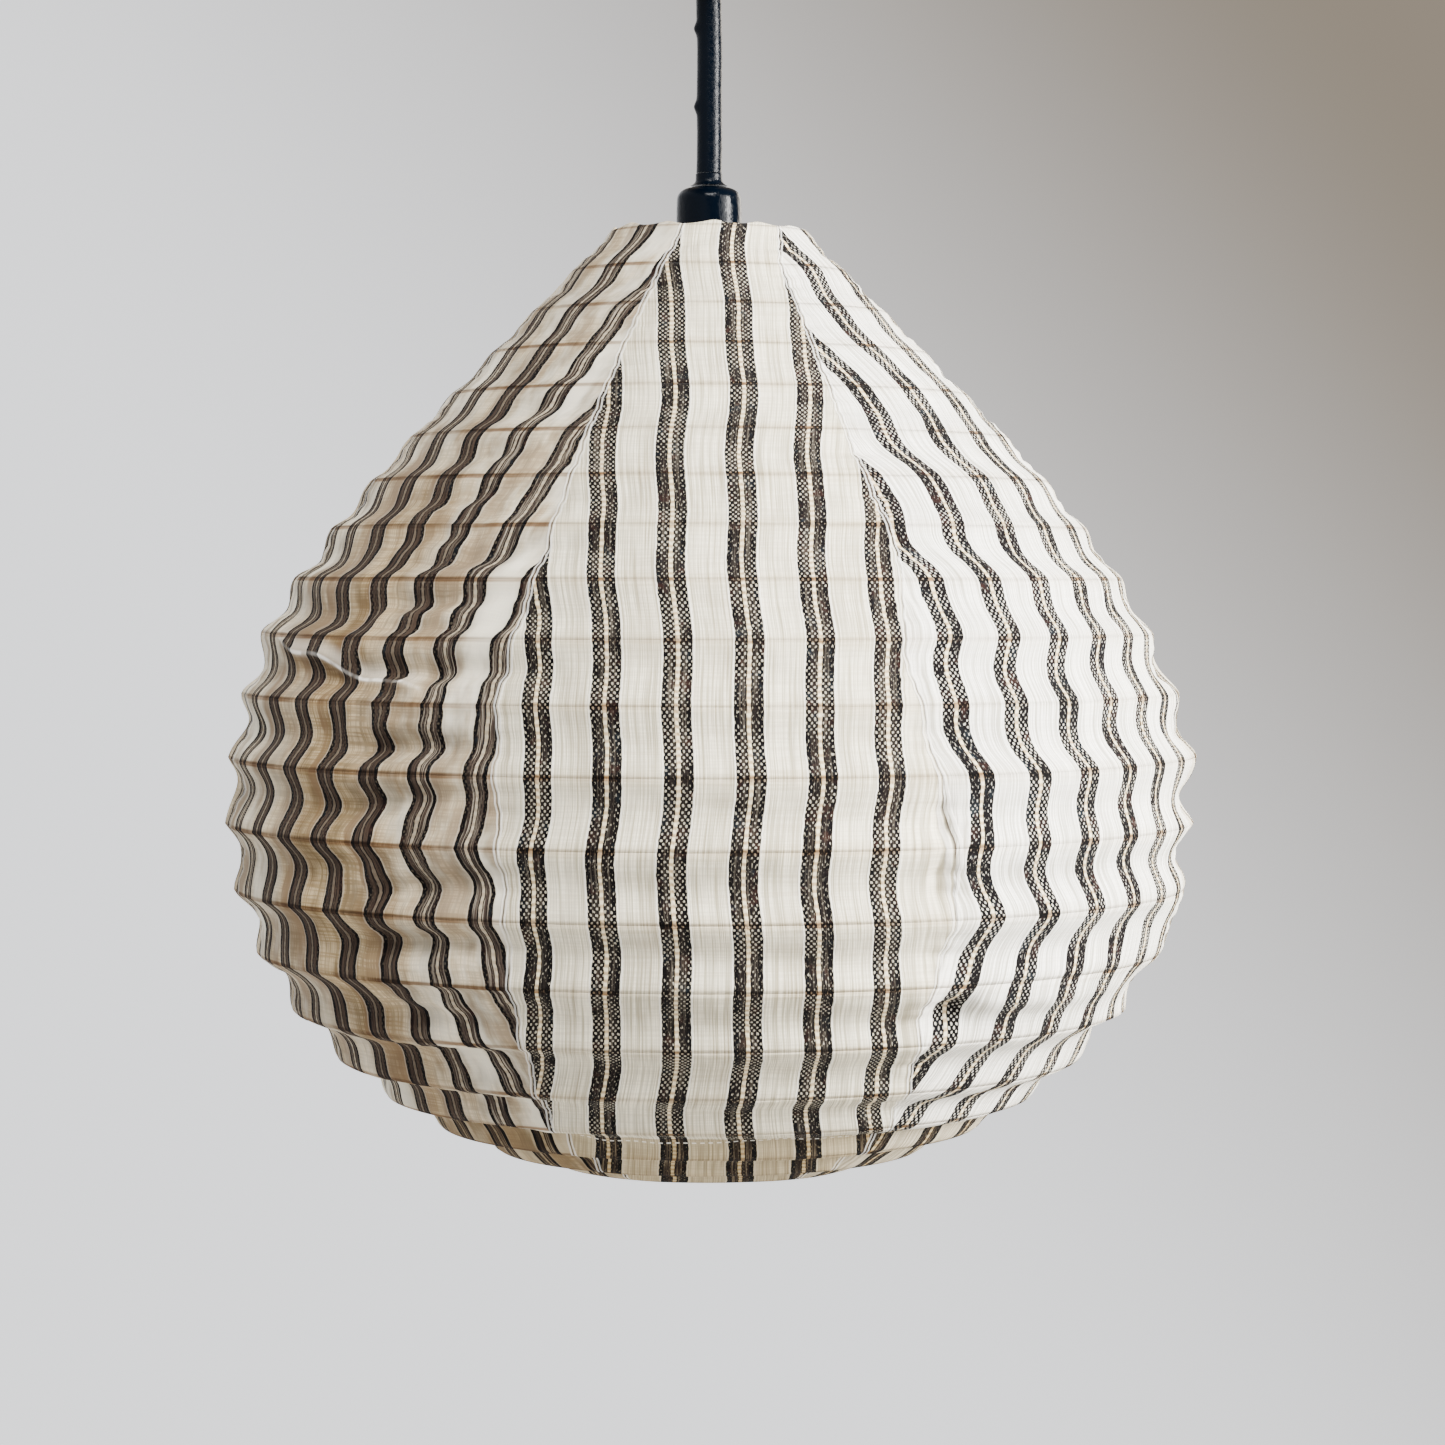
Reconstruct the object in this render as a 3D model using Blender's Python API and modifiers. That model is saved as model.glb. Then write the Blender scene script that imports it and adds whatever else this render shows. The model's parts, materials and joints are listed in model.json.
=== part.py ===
"""Accordion lantern: a pleated fabric shade on wire rings, hung on a cord from a ceiling canopy.

Metres, +Z up. The origin is on the ceiling face, at the middle of the ceiling plate, and everything
hangs below it on the Z axis.
"""
import math

import bmesh
import bpy
from mathutils import Vector
from mathutils.geometry import interpolate_bezier

# Driving dimensions
GAP = 0.0003                # clearance between neighbouring pieces
SIDES = 24                  # facets around every turned piece
SHADE_TOP = -0.170          # height of the top ring
SHADE_DEPTH = 0.431         # top ring to bottom ring
BELLY_DEPTH = 0.268         # top ring to the widest point
MOUTH_R = 0.0445            # centre of the top ring's wire
BELLY_R = 0.2232
FOOT_R = 0.0710             # centre of the bottom ring's wire
WIRE_R = 0.0012             # ring wire
BANDS = 20                  # fabric bands between neighbouring rings
LIFT = 0.0115               # how far the middle rings sit above even spacing, along the cloth
LIFT_END = 16               # first ring below that stretch
GORES = 7
GORE_SIDES = 4              # facets across one gore, and so GORES times as many around each ring
TWIST_DEG = 1.6             # turn of the front gore's middle from -Y towards +X
CLOTH = 0.0008
SEAM_DEG = 0.4              # angle left open between neighbouring gores
CORD_R = 0.0060
PLATE_R = 0.0460
PLATE_T = 0.0022
CANOPY_R = 0.0500
CANOPY_H = 0.0420
CANOPY_WALL = 0.0012
CAP_TOP = -0.1475           # top of the lampholder cap
HOLDER_TOP = -0.1723        # flange of the lampholder
HOLDER_R = 0.0190
HOLDER_END = -0.2150
CARRIER_TOP = -0.1766       # ring plate that carries the shade
CARRIER_R = 0.0270
CARRIER_T = 0.0020
PIVOT_R = 0.0325            # stretcher legs hinge here, on both sides
LEG_WIRE_R = 0.00125
LUG = (0.0060, 0.0074, 0.0040)
LUG_SLOT = (0.0060, 0.0050, 0.0100)
PIN_R = 0.0009
PIN_LENGTH = 0.0044
EYE_R = 0.0022              # centre of the eye's wire
BULB_TOP = -0.1853
BULB_R = 0.0300
BULB_WALL = 0.0010
SCREW_OUT = 0.0300          # ceiling screw holes, from the middle
SCREW_HOLE_R = 0.0024
CLAMP_R = 0.0110
CLAMP_NOSE_R = 0.0085
CLAMP_SIDE = 0.0080
CLAMP_H = 0.0125
CANOPY_HOLE_R = 0.0088
CANOPY_FILLET = 0.0120
GRIP_BORE_R = 0.0068
GRIP_NECK_R = 0.0085
GRIP_FLANGE_R = 0.0125
GRIP_RISE = 0.0050
GRIP_FLANGE_T = 0.0030
GRIP_NOSE = 0.0080
BOOT_H = 0.0060
CAP_FACE_R = 0.0118         # flat top of the lampholder cap
CAP_WALL = 0.0014
THREAD_BORE_R = 0.0166
FLANGE_R = 0.0215
FLANGE_T = 0.0040
INSERT_R = 0.0160
INSERT_NOSE_R = 0.0105
INSERT_SIDE = 0.0080
INSERT_H = 0.0100
CONTACT_R = 0.0030
CONTACT_T = 0.0012
SIDE_CONTACT = (0.0020, 0.0040, 0.0046)
SIDE_CONTACT_R = 0.0128
SOCKET_R = 0.0155
SOCKET_BORE_R = 0.0148
NUT_R = 0.0262              # flange of the shade ring
NUT_BODY_R = 0.0232
NUT_H = 0.0085

# Lines through several points: (radius, drop below the start)
BOOT_LINE = ((0.0066, 0.0), (0.0072, 0.0025), (0.0088, 0.0045))
CAP_LINE = ((0.0040, 0.0), (CAP_FACE_R, 0.0), (0.0138, 0.0010), (0.0148, 0.0032), (0.0152, 0.0120))
BULB_CAP_LINE = ((0.0050, 0.0), (0.0104, 0.0), (0.0133, 0.0035))
LEG_LINE = ((0.0400, 0.0045), (0.0432, 0.0160), (0.0450, 0.0500), (0.0530, 0.2200))
LEG_FOOT_LINE = ((0.0610, -0.0220), (0.0632, -0.0060), (0.0660, -0.0030))

COLLECTION = "accordion_lantern"


# ---------------------------------------------------------------- scene and materials

def clear_scene():
    for thing in list(bpy.data.objects):
        bpy.data.objects.remove(thing, do_unlink=True)


def new_collection(name):
    made = bpy.data.collections.new(name)
    bpy.context.scene.collection.children.link(made)
    return made


def material(name, colour, roughness, metallic=0.0):
    made = bpy.data.materials.new(name)
    made.use_nodes = True
    shader = made.node_tree.nodes["Principled BSDF"]
    shader.inputs["Base Color"].default_value = (*colour, 1.0)
    shader.inputs["Roughness"].default_value = roughness
    shader.inputs["Metallic"].default_value = metallic
    made.diffuse_color = (*colour, 1.0)
    return made


def add_object(name, data, surface, place=(0, 0, 0)):
    made = bpy.data.objects.new(name, data)
    made.location = place
    data.materials.append(surface)
    bpy.data.collections[COLLECTION].objects.link(made)
    return made


# ---------------------------------------------------------------- shapes

def profile_mesh(name, points, closed, drop=0.0):
    """Edges through (radius, height) points, with heights measured from drop."""
    mesh = bpy.data.meshes.new(name)
    shape = bmesh.new()
    corners = [shape.verts.new((r, 0, z - drop)) for r, z in points]
    for a, b in zip(corners, corners[1:]):
        shape.edges.new((a, b))
    if closed:
        shape.edges.new((corners[-1], corners[0]))
    shape.to_mesh(mesh)
    shape.free()
    return mesh


def screw(thing, degrees=360.0, steps=SIDES):
    turn = thing.modifiers.new("turn", "SCREW")
    turn.axis = "Z"
    turn.angle = math.radians(degrees)
    turn.steps = turn.render_steps = steps
    turn.use_merge_vertices = degrees == 360.0
    turn.merge_threshold = 0.00001
    turn.use_smooth_shade = True
    return thing


def turned(name, points, surface, closed=False, steps=SIDES):
    """A turned solid. The points run down the outer side; a ring's profile is a closed loop."""
    return screw(add_object(name, profile_mesh(name, points, closed), surface), steps=steps)


def cylinder(name, radius, top, bottom, surface):
    return turned(name, [(0, top), (radius, top), (radius, bottom), (0, bottom)], surface)


def ring(name, bore, radius, top, bottom, surface):
    return turned(name, [(bore, top), (radius, top), (radius, bottom), (bore, bottom)], surface,
                  closed=True)


def below(line, start):
    """A line of (radius, drop) points, as (radius, height) from a starting height."""
    return [(radius, start - drop) for radius, drop in line]


def turned_shell(name, points, wall, surface):
    """A turned sheet of one thickness, grown inwards from its outer face."""
    thing = turned(name, points, surface)
    skin = thing.modifiers.new("wall", "SOLIDIFY")
    skin.thickness = wall
    skin.offset = -1.0
    skin.use_even_offset = True
    return thing


def wire_ring(name, radius, height, surface):
    bpy.ops.mesh.primitive_torus_add(major_segments=GORES * GORE_SIDES, minor_segments=5,
                                     major_radius=radius, minor_radius=WIRE_R)
    data = bpy.context.object.data
    bpy.data.objects.remove(bpy.context.object)
    data.name = name
    data.shade_smooth()
    made = add_object(name, data, surface, (0, 0, height))
    made.rotation_euler = (0, 0, seam_angle(0))
    return made


def smooth_path(points, per_span=4):
    """Points along a smooth curve through the given ones."""
    route = [Vector(p) for p in points]
    slopes = [(after - before) / 2 for before, after in
              zip([route[0]] + route[:-1], route[1:] + [route[-1]])]
    found = [route[0]]
    for i in range(len(route) - 1):
        span = interpolate_bezier(route[i], route[i] + slopes[i] / 3,
                                  route[i + 1] - slopes[i + 1] / 3, route[i + 1], per_span + 1)
        found += span[1:]
    return found


def tube(name, points, radius, surface, origin=(0, 0, 0)):
    """Round wire or cord along the points, closed at both ends."""
    curve = bpy.data.curves.new(name, "CURVE")
    curve.dimensions = "3D"
    curve.bevel_depth = radius
    curve.bevel_resolution = 2
    curve.use_fill_caps = True
    spline = curve.splines.new("POLY")
    spline.points.add(len(points) - 1)
    for corner, point in zip(spline.points, points):
        corner.co = (*(Vector(point) - Vector(origin)), 1.0)
    return add_object(name, curve, surface, origin)


def box_mesh(name, size):
    mesh = bpy.data.meshes.new(name)
    shape = bmesh.new()
    bmesh.ops.create_cube(shape, size=1.0)
    bmesh.ops.scale(shape, vec=size, verts=shape.verts)
    shape.to_mesh(mesh)
    shape.free()
    return mesh


def cutter(name, mesh, place):
    made = bpy.data.objects.new(name, mesh)
    made.location = place
    made.hide_render = True
    made.display_type = "WIRE"
    bpy.data.collections["cutters"].objects.link(made)
    return made


def cut(thing, tool):
    step = thing.modifiers.new("cut_" + tool.name, "BOOLEAN")
    step.operation = "DIFFERENCE"
    step.solver = "EXACT"
    step.object = tool


def rod_mesh(name, radius, length, sides=12):
    mesh = bpy.data.meshes.new(name)
    shape = bmesh.new()
    bmesh.ops.create_cone(shape, cap_ends=True, segments=sides, radius1=radius, radius2=radius,
                          depth=length)
    shape.to_mesh(mesh)
    shape.free()
    return mesh


# ---------------------------------------------------------------- the shade's outline

def outline():
    """(radius, height) through the wires' centres: a 44 degree neck, a round belly, a tucked foot."""
    neck = 0.160
    slope = math.radians(44)
    tuck = math.radians(80)
    foot = 0.060
    curves = (
        ((MOUTH_R, 0.0),
         (MOUTH_R + neck * math.sin(slope), -neck * math.cos(slope)),
         (BELLY_R, -BELLY_DEPTH + 0.100),
         (BELLY_R, -BELLY_DEPTH)),
        ((BELLY_R, -BELLY_DEPTH),
         (BELLY_R, -BELLY_DEPTH - 0.100),
         (FOOT_R + foot * math.sin(tuck), -SHADE_DEPTH + foot * math.cos(tuck)),
         (FOOT_R, -SHADE_DEPTH)),
    )
    points = []
    for curve in curves:
        handles = [Vector((r, SHADE_TOP + z, 0)) for r, z in curve]
        points += interpolate_bezier(*handles, 200)[1 if points else 0:]
    return points


def ring_places():
    """Wire centres from the top ring to the bottom one, nearly equally far apart along the outline."""
    points = outline()
    runs = [0.0]
    for a, b in zip(points, points[1:]):
        runs.append(runs[-1] + (b - a).length)
    places = []
    i = 0
    for k in range(BANDS + 1):
        want = runs[-1] * k / BANDS - LIFT * math.sin(math.pi * min(k / LIFT_END, 1.0))
        while i < len(runs) - 2 and runs[i + 1] < want:
            i += 1
        share = (want - runs[i]) / (runs[i + 1] - runs[i])
        places.append(points[i].lerp(points[i + 1], min(share, 1.0)))
    return [Vector((p.x, p.y)) for p in places]


def seam_angle(number):
    """Azimuth of the seam at the start of a gore. Gore 0 is the front one."""
    return math.radians(-90 + TWIST_DEG + (number - 0.5) * 360 / GORES)


def outward(a, b):
    """The outward normal of the outline's stretch from a down to b."""
    along = (b - a).normalized()
    return Vector((-along.y, along.x))


def offset_line(points, distance):
    """The line moved sideways, with mitred corners."""
    moved = []
    for i, point in enumerate(points):
        before = outward(points[i - 1], point) if i else None
        after = outward(point, points[i + 1]) if i < len(points) - 1 else None
        if before and after:
            mitre = (before + after).normalized()
            moved.append(point + mitre * distance / mitre.dot(after))
        else:
            moved.append(point + (before or after) * distance)
    return moved


def strip(start, along, side, first, last):
    """Closed profile of a hem: a cloth strip beside the wire at start, between two distances."""
    near = WIRE_R + GAP
    far = near + CLOTH
    return [start + along * first - side * near, start + along * last - side * near,
            start + along * last - side * far, start + along * first - side * far]


# ---------------------------------------------------------------- sub-parts

def ceiling_fitting(steel, black):
    plate = cylinder("ceiling_plate", PLATE_R, 0, -PLATE_T, steel)
    for side, sign in (("a", 1), ("b", -1)):
        hole = cutter("screw_hole_" + side, rod_mesh("screw_hole_" + side, SCREW_HOLE_R, 0.02, 16),
                      (sign * SCREW_OUT, 0, 0))
        cut(plate, hole)
    clamp_top = -PLATE_T - GAP
    turned("cord_clamp", [(0, clamp_top), (CLAMP_R, clamp_top), (CLAMP_R, clamp_top - CLAMP_SIDE),
                          (CLAMP_NOSE_R, clamp_top - CLAMP_H), (0, clamp_top - CLAMP_H)], black)
    turned("canopy_cup", canopy_profile(), black, closed=True)
    turned("canopy_grip", grip_profile(), black, closed=True)


def canopy_profile():
    """Cup with a rounded shoulder and a hole in its floor for the cord grip."""
    top = -GAP
    floor = -CANOPY_H
    outer = [(CANOPY_R, top)]
    inner = [(CANOPY_R - CANOPY_WALL, top)]
    for step in range(5):
        turn = math.radians(90 * step / 4)
        centre = (CANOPY_R - CANOPY_FILLET, floor + CANOPY_FILLET)
        for line, r in ((outer, CANOPY_FILLET), (inner, CANOPY_FILLET - CANOPY_WALL)):
            line.append((centre[0] + r * math.cos(turn), centre[1] - r * math.sin(turn)))
    outer.append((CANOPY_HOLE_R, floor))
    inner.append((CANOPY_HOLE_R, floor + CANOPY_WALL))
    return outer + inner[::-1]


def grip_profile():
    """Sleeve round the cord, with a flange that holds the canopy up and a tapered nose."""
    floor = -CANOPY_H
    return [(GRIP_BORE_R, floor + GRIP_RISE), (GRIP_NECK_R, floor + GRIP_RISE),
            (GRIP_NECK_R, floor - GAP), (GRIP_FLANGE_R, floor - GAP),
            (GRIP_FLANGE_R, floor - GRIP_FLANGE_T), (CANOPY_HOLE_R, floor - GRIP_NOSE),
            (GRIP_BORE_R, floor - GRIP_NOSE)]


def cord_and_boot(black):
    top = -PLATE_T - CLAMP_H - 2 * GAP
    boot_top = CAP_TOP + BOOT_H
    count = 6
    points = [(0, 0, top + (boot_top + GAP - top) * i / (count - 1)) for i in range(count)]
    tube("cord", points, CORD_R, black)
    foot = CAP_TOP + GAP
    turned("cord_boot", [(0, boot_top), *below(BOOT_LINE, boot_top), (CAP_FACE_R, foot), (0, foot)], black)


def lampholder(black, ceramic, brass):
    cap_end = (0.0158, HOLDER_TOP + GAP)
    turned_shell("holder_cap", [*below(CAP_LINE, CAP_TOP), cap_end], CAP_WALL, black)
    flange = HOLDER_TOP - FLANGE_T
    shell = [(THREAD_BORE_R, HOLDER_TOP), (FLANGE_R, HOLDER_TOP), (FLANGE_R, flange),
             (HOLDER_R, flange), (HOLDER_R, HOLDER_END), (THREAD_BORE_R, HOLDER_END)]
    turned("holder_shell", shell, black, closed=True)
    top = HOLDER_TOP - 0.0012
    bottom = top - INSERT_H
    turned("holder_insert", [(0, top), (INSERT_R, top), (INSERT_R, top - INSERT_SIDE),
                             (INSERT_NOSE_R, bottom), (0, bottom)], ceramic)
    contact_top = bottom - GAP
    add_object("centre_contact", rod_mesh("centre_contact", CONTACT_R, CONTACT_T), brass,
               (0, 0, contact_top - CONTACT_T / 2))
    add_object("side_contact", box_mesh("side_contact", SIDE_CONTACT), brass,
               (SIDE_CONTACT_R, 0, contact_top - SIDE_CONTACT[2] / 2 - GAP))
    ring("screw_shell", SOCKET_BORE_R, SOCKET_R, contact_top - 0.0002, HOLDER_END + 0.0050, brass)


def bulb(brass, black, glass):
    tip_end = BULB_TOP - 0.0015
    turned("bulb_tip", [(0, BULB_TOP), (0.0040, BULB_TOP), (0.0050, tip_end), (0, tip_end)], brass)
    top = tip_end - GAP
    bottom = top - 0.0026
    turned("bulb_insulator", [(0, top), (0.0060, top), (0.0100, bottom), (0, bottom)], black)
    cap_end = HOLDER_END + 0.0020
    cap = below(BULB_CAP_LINE, bottom - GAP)
    turned_shell("bulb_cap", [*cap, (cap[-1][0], cap_end)], 0.0006, brass)
    neck_top = cap_end - GAP
    centre = neck_top - 0.0500
    start = Vector((0.0132, neck_top - 0.0060, 0))
    join = math.radians(35)
    globe_top = Vector((BULB_R * math.cos(join), centre + BULB_R * math.sin(join), 0))
    slope = Vector((math.sin(join), -math.cos(join), 0)) * 0.012
    neck = interpolate_bezier(start, start - Vector((0, 0.010, 0)), globe_top - slope, globe_top, 5)
    glass_line = [(0.0130, neck_top)] + [(point.x, point.y) for point in neck]
    steps = 7
    for step in range(1, steps):
        turn = join - (join + math.pi / 2) * step / steps
        glass_line.append((BULB_R * math.cos(turn), centre + BULB_R * math.sin(turn)))
    glass_line.append((0, centre - BULB_R))
    turned_shell("bulb_glass", glass_line, BULB_WALL, glass)


def shade_fitting(black, steel):
    """The threaded ring, the carrier plate with its spokes, and the two stretcher legs."""
    ring_top = CARRIER_TOP - CARRIER_T - GAP
    inner = HOLDER_R + GAP + 0.0002
    turned("shade_ring", [(inner, ring_top), (NUT_R, ring_top), (NUT_R, ring_top - 0.0020),
                          (NUT_BODY_R, ring_top - 0.0032), (NUT_BODY_R, ring_top - NUT_H),
                          (inner, ring_top - NUT_H)], black, closed=True)
    ring("carrier_plate", inner, CARRIER_R, CARRIER_TOP, CARRIER_TOP - CARRIER_T, steel)
    middle = CARRIER_TOP - CARRIER_T / 2
    for number, azimuth in enumerate((90, 210, 330), 1):
        out = Vector((math.cos(math.radians(azimuth)), math.sin(math.radians(azimuth)), 0))
        stops = [(CARRIER_R + 2 * GAP, middle), (0.0315, middle), (0.0365, SHADE_TOP - 0.0010),
                 (MOUTH_R - WIRE_R - 2 * GAP, SHADE_TOP)]
        tube("spoke_%d" % number, smooth_path([out * r + Vector((0, 0, z)) for r, z in stops], 3),
             LEG_WIRE_R, steel)
    for side, sign in (("left", -1), ("right", 1)):
        stretcher_leg(side, sign, middle, steel)


def stretcher_leg(side, sign, height, steel):
    """A lug on the carrier plate, a pin in it, and a leg with an eye that swings on the pin."""
    lug_r = CARRIER_R + GAP + LUG[0] / 2
    lug = add_object("leg_lug_" + side, box_mesh("leg_lug_" + side, LUG), steel,
                     (sign * lug_r, 0, height))
    slot = cutter("lug_slot_" + side, box_mesh("lug_slot_" + side, LUG_SLOT),
                  (sign * (lug_r + 0.0015), 0, height))
    cut(lug, slot)
    pivot = Vector((sign * PIVOT_R, 0, height))
    pin = add_object("leg_pin_" + side, rod_mesh("leg_pin_" + side, PIN_R, PIN_LENGTH), steel, pivot)
    pin.rotation_euler = (math.radians(90), 0, 0)
    bpy.ops.mesh.primitive_torus_add(major_segments=16, minor_segments=6,
                                     major_radius=EYE_R, minor_radius=PIN_R)
    eye = bpy.context.object.data
    bpy.data.objects.remove(bpy.context.object)
    eye.name = "leg_eye_" + side
    made = add_object("leg_eye_" + side, eye, steel, pivot)
    made.rotation_euler = (math.radians(90), 0, 0)
    stops = [(PIVOT_R + 0.0036, height), *below(LEG_LINE, height),
             *below(LEG_FOOT_LINE, SHADE_TOP - SHADE_DEPTH)]
    route = smooth_path([(sign * r, 0, z) for r, z in stops], 3)
    tube("leg_" + side, route, LEG_WIRE_R, steel, pivot)


def shade(cloth, steel):
    places = ring_places()
    for number, place in enumerate(places):
        wire_ring("ring_%02d" % number, place.x, place.y, steel)
    edge = 0.0030           # how far the cloth reaches past the end rings
    top_run = (places[1] - places[0]).normalized()
    end_run = (places[-1] - places[-2]).normalized()
    line = [places[0] - top_run * edge] + places[1:-1] + [places[-1] + end_run * edge]
    inner_face = [tuple(p) for p in offset_line(line, WIRE_R + GAP)]
    gore_angle = 360 / GORES - SEAM_DEG
    for number in range(GORES):
        name = "gore_%d" % (number + 1)
        gore = add_object(name, profile_mesh(name, inner_face, False, SHADE_TOP), cloth,
                          (0, 0, SHADE_TOP))
        screw(gore, gore_angle, GORE_SIDES)
        skin = gore.modifiers.new("cloth", "SOLIDIFY")
        skin.thickness = CLOTH
        skin.offset = 1.0
        skin.use_even_offset = True
        gore.rotation_euler = (0, 0, seam_angle(number) + math.radians(SEAM_DEG / 2))
    top_hem = strip(places[0], top_run, outward(places[0], places[1]), 0.0055, 0.0150)
    bottom_hem = strip(places[-1], end_run, outward(places[-2], places[-1]), -0.0120, 0.0025)
    for name, profile in (("top_hem", top_hem), ("bottom_hem", bottom_hem)):
        hem = turned(name, [tuple(p) for p in profile], cloth, closed=True, steps=GORES * GORE_SIDES)
        hem.rotation_euler = (0, 0, seam_angle(0))


def build():
    clear_scene()
    new_collection(COLLECTION)
    new_collection("cutters")
    black = material("black_plastic", (0.012, 0.013, 0.018), 0.22)
    steel = material("coated_wire", (0.78, 0.76, 0.72), 0.45, 0.6)
    cloth = material("striped_cotton", (0.80, 0.77, 0.68), 0.90)
    ceramic = material("ceramic", (0.86, 0.85, 0.81), 0.35)
    brass = material("brass", (0.80, 0.62, 0.30), 0.30, 1.0)
    glass = material("opal_glass", (0.92, 0.91, 0.88), 0.25)
    ceiling_fitting(steel, black)
    cord_and_boot(black)
    lampholder(black, ceramic, brass)
    bulb(brass, black, glass)
    shade_fitting(black, steel)
    shade(cloth, steel)


build()
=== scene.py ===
"""Accordion lantern, its looks: striped hand-woven cloth over wire hoops, on a glossy black cord."""

import json
import math

import bmesh
import bpy
import numpy as np
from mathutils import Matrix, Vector, noise
from mathutils.geometry import interpolate_bezier


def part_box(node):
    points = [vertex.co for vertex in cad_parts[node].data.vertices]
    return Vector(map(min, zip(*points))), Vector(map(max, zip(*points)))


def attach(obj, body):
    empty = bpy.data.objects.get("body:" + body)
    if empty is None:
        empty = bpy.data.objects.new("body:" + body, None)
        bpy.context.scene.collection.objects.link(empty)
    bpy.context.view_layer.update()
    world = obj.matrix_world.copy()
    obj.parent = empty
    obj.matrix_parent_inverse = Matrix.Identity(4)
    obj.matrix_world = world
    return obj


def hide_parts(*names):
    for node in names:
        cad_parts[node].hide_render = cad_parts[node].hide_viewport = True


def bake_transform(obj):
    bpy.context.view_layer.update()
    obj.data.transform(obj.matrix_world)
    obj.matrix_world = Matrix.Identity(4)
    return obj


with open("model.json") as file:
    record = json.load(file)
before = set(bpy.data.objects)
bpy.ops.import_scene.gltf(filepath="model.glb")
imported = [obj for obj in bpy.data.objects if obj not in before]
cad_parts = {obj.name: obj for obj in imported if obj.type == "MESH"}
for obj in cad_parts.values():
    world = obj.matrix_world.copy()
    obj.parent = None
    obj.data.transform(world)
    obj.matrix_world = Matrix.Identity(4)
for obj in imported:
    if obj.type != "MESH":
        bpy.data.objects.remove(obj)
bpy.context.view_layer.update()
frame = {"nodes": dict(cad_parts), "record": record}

# ---- sizes, in metres and degrees

GORES = 7
TWIST = 1.6                      # azimuth of the front gore's middle, from -Y towards +X
BANDS = 20
WIRE_R = 0.0012
CLOTH = 0.0006
FACE = WIRE_R + CLOTH + 0.0001   # from a wire's middle to the outer face of the cloth over it
COLUMNS = 60                     # mesh columns across one gore
ROWS = 14                        # mesh rows in one band
COLUMN_CROWDING = 0.10           # how much closer the columns stand beside the seams
STRIPE_PITCH = 0.030
HALF_STRIPE = 0.0061
HALF_GOLD = 0.0006               # half of the gold thread in a stripe's middle
CORD_END = 0.0069                # outer side of the white cord beside a stripe
SOFT = 0.0003                    # how far the edge of a stripe or a yarn fades

# Each gore as it was cut and as it hangs: stripe spacing, place of one stripe from the gore's
# middle, sideways wander of the stripes with its wavelength along the cloth, and hollow depth
CUTS = ((0.0300, 0.0107, 0.0012, 0.150, 0.0032), (0.0318, -0.0125, 0.0034, 0.068, 0.0036),
        (0.0300, 0.0020, 0.0018, 0.110, 0.0058), (0.0296, 0.0110, 0.0016, 0.130, 0.0062),
        (0.0304, -0.0060, 0.0018, 0.120, 0.0062), (0.0300, 0.0090, 0.0016, 0.140, 0.0064),
        (0.0282, 0.0085, 0.0014, 0.090, 0.0062))
# Places on two gores past which there is no stripe, up to their shared seam
PLAIN = {0: (-1.0, 0.0787), 1: (-0.0838, 1.0)}
PLAIN_RATE = 0.42                # how fast the pattern still moves on past those places
# Gores whose stripes swing aside: run down the cloth, reach along it and distance
DRIFT = {1: (0.290, 0.072, 0.0135)}
# Painted light and shade on each gore, lightest on the right gore and darkest and brownest on the left,
# and how much painted backlight shows through it
GORE_PAINTED_LIGHT = ((0.840, 0.800, 0.650, 0.16), (0.950, 0.945, 0.890, 0.00), (0.890, 0.850, 0.730, 0.20),
         (0.810, 0.750, 0.590, 0.40), (0.740, 0.665, 0.490, 0.55), (0.660, 0.555, 0.375, 0.80),
         (0.450, 0.352, 0.212, 1.00))

# How the two front seams run: distance along the cloth from the top hoop, azimuth in degrees
LEFT_SEAM = ((0.0, -15.0), (0.030, -19.5), (0.080, -21.5), (0.200, -22.2), (0.270, -24.0),
             (0.360, -22.6), (0.430, -24.0), (0.500, -27.5), (0.573, -30.0))
RIGHT_SEAM = ((0.0, 44.0), (0.025, 30.5), (0.080, 27.0), (0.140, 25.3), (0.200, 26.2),
              (0.250, 23.6), (0.290, 25.0), (0.330, 27.4), (0.370, 28.2), (0.410, 26.6),
              (0.460, 30.0), (0.500, 33.0), (0.573, 34.5))
# The dark seam line widens into painted shade where the seam gapes
SLIT = (0.335, 0.032)            # where the right seam gapes: middle and reach along the cloth
HEM_FROM = 0.4985                # the turned-up hem lies behind the cloth from here down
# The sharp crease across the left gore: its ends across the cloth, and the run at each
CREASE = ((-0.074, 0.2465), (0.058, 0.2690))
CREASE_WAVE = (0.0016, 110.0)    # height of its wave, and radians to a metre across the cloth
CREASE_PUSH = 0.0042
# Bulges and dents: push outwards, azimuth and reach, run and reach, and whether the hoops hold it
DENTS = ((0.0020, -84, 16, 0.240, 0.020, False), (0.0035, 86, 13, 0.300, 0.024, False),
         (-0.0050, 84, 12, 0.340, 0.012, True), (0.0050, 82, 12, 0.375, 0.022, True),
         (-0.0060, 78, 12, 0.428, 0.014, True), (0.0060, 46, 18, 0.4050, 0.010, True),
         (-0.0070, 30.5, 2.6, 0.4100, 0.010, True), (-0.0040, 26.0, 1.2, 0.335, 0.026, True),
         (0.0022, 29.5, 2.2, 0.335, 0.030, True))

CAMERA_DISTANCE = 1.80
CAMERA_SIDE = 0.0063             # how far right of the axis it stands
FRAME_WIDTH = 0.6763             # what the picture spans at the lantern's axis
HORIZON_DROP = 0.1582            # camera height below the top hoop
LOOK_DOWN = 2.2                  # degrees
SENSOR = 36                      # millimetres
FLOOR_RADIUS, FLOOR_HEIGHT = 2.5, -2.4


# ---- the frame's measures

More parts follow.
